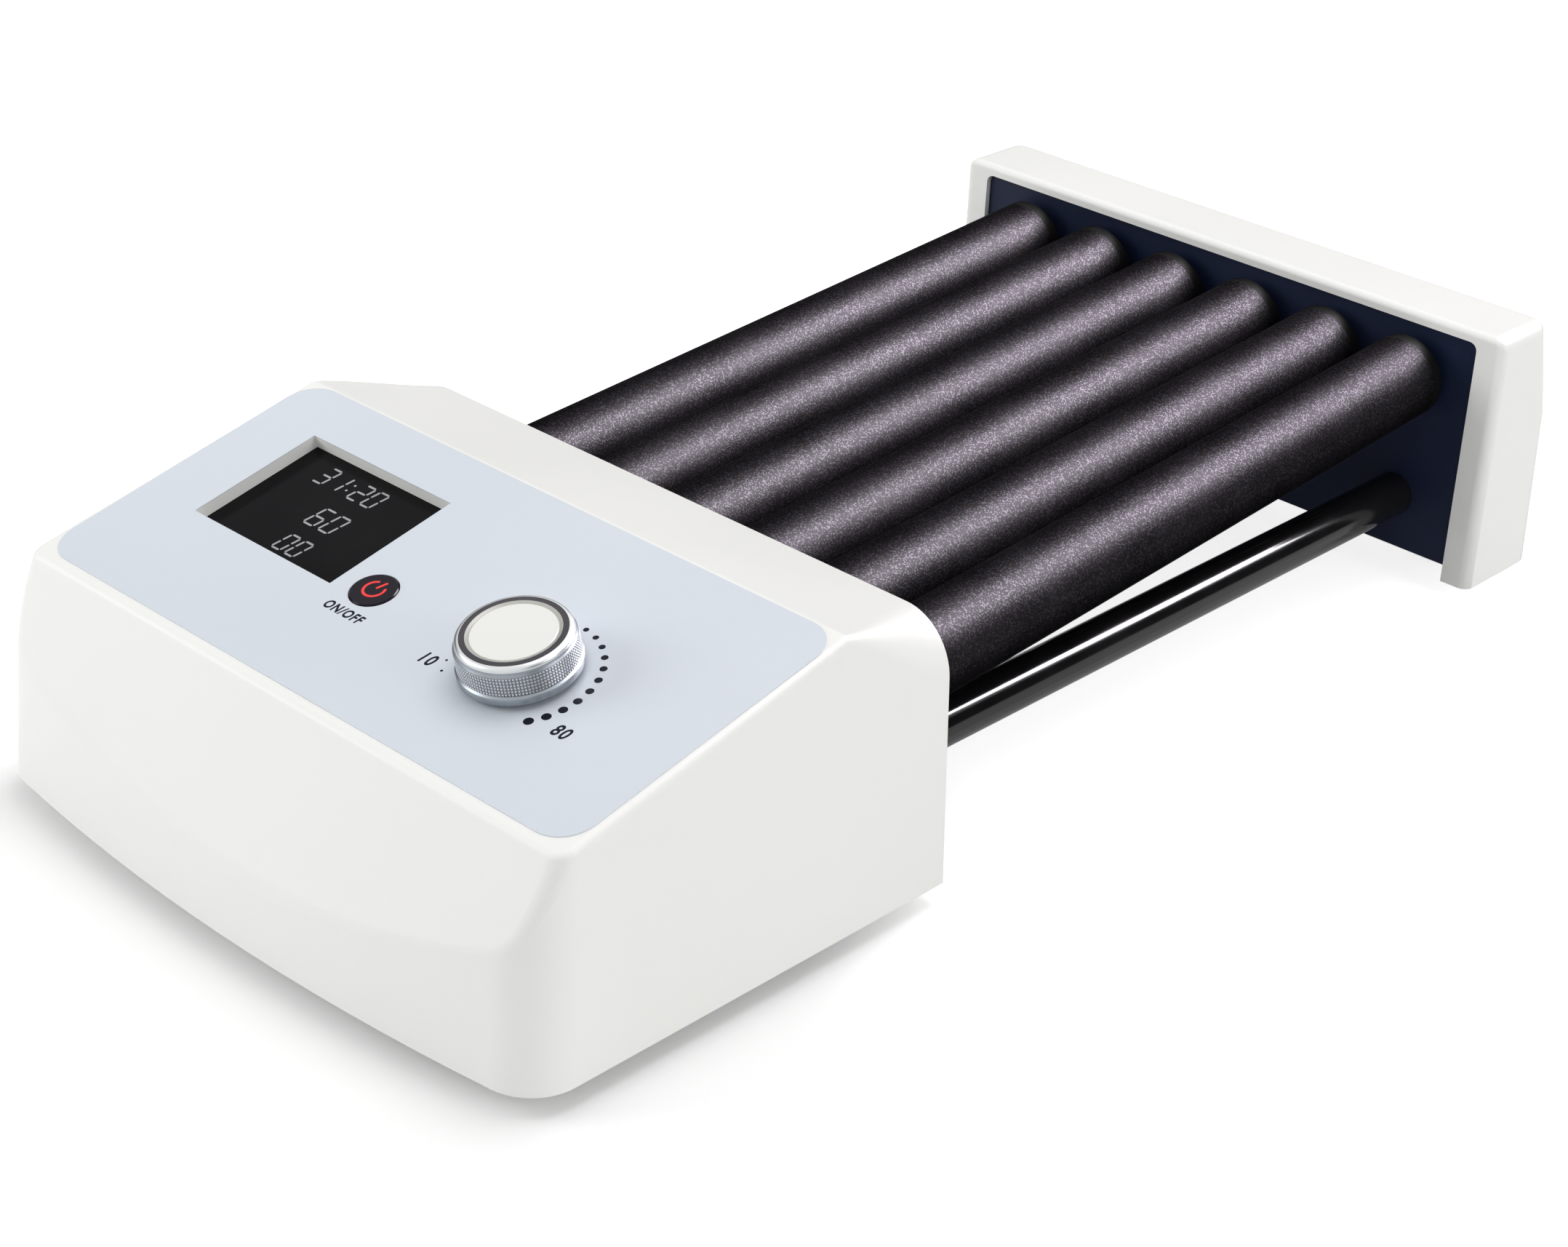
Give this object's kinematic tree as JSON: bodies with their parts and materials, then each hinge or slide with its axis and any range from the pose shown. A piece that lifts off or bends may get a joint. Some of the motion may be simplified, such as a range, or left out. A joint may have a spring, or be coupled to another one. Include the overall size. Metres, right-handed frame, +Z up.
{
  "type": "roller mixer",
  "caption": "Bench roller mixer: skewed rollers between a sloping control head and an end cap turn together, so that sample tubes laid across them roll and rock.",
  "frame": {"origin": "on the bench under the middle of the mixer", "axes": "+X to the user's right, +Y from the control head towards the end cap, +Z up"},
  "size_m": [0.244, 0.5, 0.1056],
  "materials": {
    "shell": "warm white, fine satin moulding texture",
    "label": "pale blue-grey film label, satin",
    "display": "black display glass",
    "circuit": "green circuit board",
    "black_plastic": "black moulded plastic",
    "knob_metal": "satin and polished metal knob",
    "knob_white": "pale inset disc",
    "navy": "dark navy semi-matt paint",
    "steel": "bright steel",
    "alloy": "plain aluminium sheet",
    "bronze": "sintered bronze",
    "gear_plastic": "off-white engineering plastic",
    "rod_black": "gloss black coating",
    "roller_black": "matt black coated tube with fine sparkle",
    "hub_black": "black moulded plastic",
    "cover": "light moulded plastic",
    "foot_rubber": "black rubber"
  },
  "bodies": {
    "main": {"head_shell": "shell", "head_base": "cover", "head_base_screws": "steel", "head_feet": "foot_rubber", "motor_board": "circuit", "power_inlet": "black_plastic", "panel_overlay": "label", "lcd_window": "display", "lcd_module": "black_plastic", "display_board": "circuit", "encoder_body": "black_plastic", "power_switch": "black_plastic", "head_end_plate": "navy", "cap_end_plate": "navy", "gear_plate": "alloy", "gear_plate_spacers": "alloy", "spacer_screws": "steel", "tie_rods": "rod_black", "tie_rod_screws": "steel", "near_bearings": "bronze", "gear_plate_bearings": "bronze", "far_bearings": "bronze", "idler_pins": "steel", "gear_motor": "steel", "cap_shell": "shell", "cap_base": "cover", "cap_base_screws": "steel", "cap_feet": "foot_rubber"},
    "roller_1": {"roller_1_tube": "roller_black", "roller_1_hubs": "hub_black", "roller_1_gear": "gear_plastic"},
    "roller_2": {"roller_2_tube": "roller_black", "roller_2_hubs": "hub_black", "roller_2_gear": "gear_plastic"},
    "roller_3": {"roller_3_tube": "roller_black", "roller_3_hubs": "hub_black", "roller_3_gear": "gear_plastic"},
    "roller_4": {"roller_4_tube": "roller_black", "roller_4_hubs": "hub_black", "roller_4_gear": "gear_plastic"},
    "roller_5": {"roller_5_tube": "roller_black", "roller_5_hubs": "hub_black", "roller_5_gear": "gear_plastic"},
    "roller_6": {"roller_6_tube": "roller_black", "roller_6_hubs": "hub_black", "roller_6_gear": "gear_plastic"},
    "idler_1": {"idler_gear_1": "gear_plastic"},
    "idler_2": {"idler_gear_2": "gear_plastic"},
    "idler_3": {"idler_gear_3": "gear_plastic"},
    "idler_4": {"idler_gear_4": "gear_plastic"},
    "idler_5": {"idler_gear_5": "gear_plastic"},
    "pinion": {"motor_pinion": "gear_plastic"},
    "knob_plunger": {"encoder_plunger": "black_plastic"},
    "knob": {"encoder_shaft": "steel", "knob_body": "knob_metal", "knob_ring": "black_plastic", "knob_disc": "knob_white"},
    "button": {"power_button": "black_plastic"}
  },
  "joints": [
    {"name": "roller_1_spin", "type": "hinge", "parent": "main", "child": "roller_1", "pos_m": [-0.086, 0, 0.0695], "axis": [0, 1, 0], "continuous": true},
    {"name": "roller_2_spin", "type": "hinge", "parent": "main", "child": "roller_2", "pos_m": [-0.0516, 0, 0.0695], "axis": [0, 1, 0], "continuous": true},
    {"name": "roller_3_spin", "type": "hinge", "parent": "main", "child": "roller_3", "pos_m": [-0.0172, 0, 0.0695], "axis": [0, 1, 0], "continuous": true},
    {"name": "roller_4_spin", "type": "hinge", "parent": "main", "child": "roller_4", "pos_m": [0.0172, 0, 0.0695], "axis": [0, 1, 0], "continuous": true},
    {"name": "roller_5_spin", "type": "hinge", "parent": "main", "child": "roller_5", "pos_m": [0.0516, 0, 0.0695], "axis": [0, 1, 0], "continuous": true},
    {"name": "roller_6_spin", "type": "hinge", "parent": "main", "child": "roller_6", "pos_m": [0.086, 0, 0.0695], "axis": [0, 1, 0], "continuous": true},
    {"name": "idler_1_spin", "type": "hinge", "parent": "main", "child": "idler_1", "pos_m": [-0.0688, -0.09, 0.05801], "axis": [0, 1, 0], "continuous": true},
    {"name": "idler_2_spin", "type": "hinge", "parent": "main", "child": "idler_2", "pos_m": [-0.0344, -0.09, 0.05801], "axis": [0, 1, 0], "continuous": true},
    {"name": "idler_3_spin", "type": "hinge", "parent": "main", "child": "idler_3", "pos_m": [0, -0.09, 0.05801], "axis": [0, 1, 0], "continuous": true},
    {"name": "idler_4_spin", "type": "hinge", "parent": "main", "child": "idler_4", "pos_m": [0.0344, -0.09, 0.05801], "axis": [0, 1, 0], "continuous": true},
    {"name": "idler_5_spin", "type": "hinge", "parent": "main", "child": "idler_5", "pos_m": [0.0688, -0.09, 0.05801], "axis": [0, 1, 0], "continuous": true},
    {"name": "pinion_spin", "type": "hinge", "parent": "main", "child": "pinion", "pos_m": [0, -0.09, 0.03991], "axis": [0, 1, 0], "continuous": true},
    {"name": "knob_press", "type": "slide", "parent": "main", "child": "knob_plunger", "axis": [0, 0.2319, -0.9727], "range_m": [0, 0.0005], "stiffness_N_per_m": 6000, "springref_m": -0.0002},
    {"name": "knob_turn", "type": "hinge", "parent": "knob_plunger", "child": "knob", "pos_m": [0.0514, -0.18148, 0.08834], "axis": [0, -0.2319, 0.9727], "continuous": true},
    {"name": "button_press", "type": "slide", "parent": "main", "child": "button", "axis": [0, 0.2319, -0.9727], "range_m": [0, 0.0008], "stiffness_N_per_m": 1500, "springref_m": -0.0003}
  ],
  "couplings": [
    {"joint": "roller_2_spin", "follows": "roller_1_spin", "ratio": 1},
    {"joint": "roller_3_spin", "follows": "roller_1_spin", "ratio": 1},
    {"joint": "roller_4_spin", "follows": "roller_1_spin", "ratio": 1},
    {"joint": "roller_5_spin", "follows": "roller_1_spin", "ratio": 1},
    {"joint": "roller_6_spin", "follows": "roller_1_spin", "ratio": 1},
    {"joint": "idler_1_spin", "follows": "roller_1_spin", "ratio": -1},
    {"joint": "idler_2_spin", "follows": "roller_1_spin", "ratio": -1},
    {"joint": "idler_3_spin", "follows": "roller_1_spin", "ratio": -1},
    {"joint": "idler_4_spin", "follows": "roller_1_spin", "ratio": -1},
    {"joint": "idler_5_spin", "follows": "roller_1_spin", "ratio": -1},
    {"joint": "pinion_spin", "follows": "roller_1_spin", "ratio": 1.3333}
  ]
}
